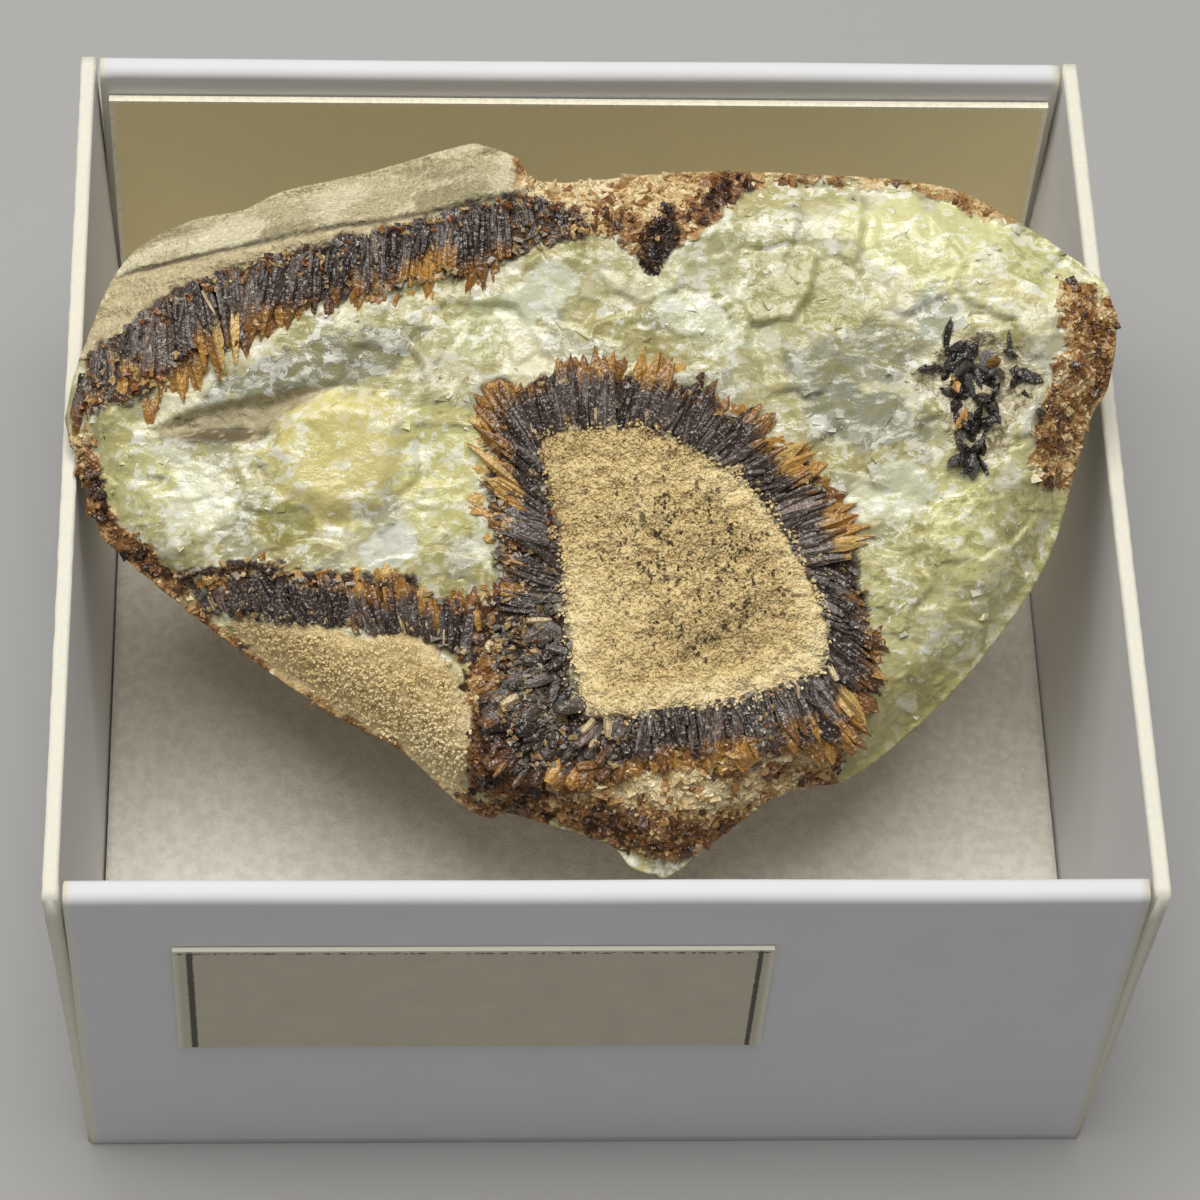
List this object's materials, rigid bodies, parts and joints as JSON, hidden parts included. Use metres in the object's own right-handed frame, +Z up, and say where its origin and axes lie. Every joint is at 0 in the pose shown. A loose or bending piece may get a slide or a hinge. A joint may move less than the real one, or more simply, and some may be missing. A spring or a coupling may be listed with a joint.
{
  "type": "septarian nodule",
  "caption": "Broken septarian nodule with crystal fringes, sandy core and yellow-green calcite, lying on a foam pad in a small open card tray.",
  "frame": {"origin": "centre of the tray's underside, on the surface it stands on", "axes": "+Z up, -Y out of the tray's front wall, +X to the right seen from the front"},
  "size_m": [0.0414, 0.0402, 0.0279],
  "materials": {
    "stone": "broken calcite, dark and amber crystal fringes, sandy core, matt rind",
    "white_card": "matt white card with raw cream cut edges",
    "white_foam": "fine closed-cell foam with small sparkles",
    "cream_card": "smooth matt cream card",
    "grey_paper": "matt greyish cream paper with light edges"
  },
  "bodies": {
    "root": {"nodule": "stone", "card_tray": "white_card", "foam_pad": "white_foam", "name_label": "cream_card", "number_label": "grey_paper"}
  },
  "joints": []
}
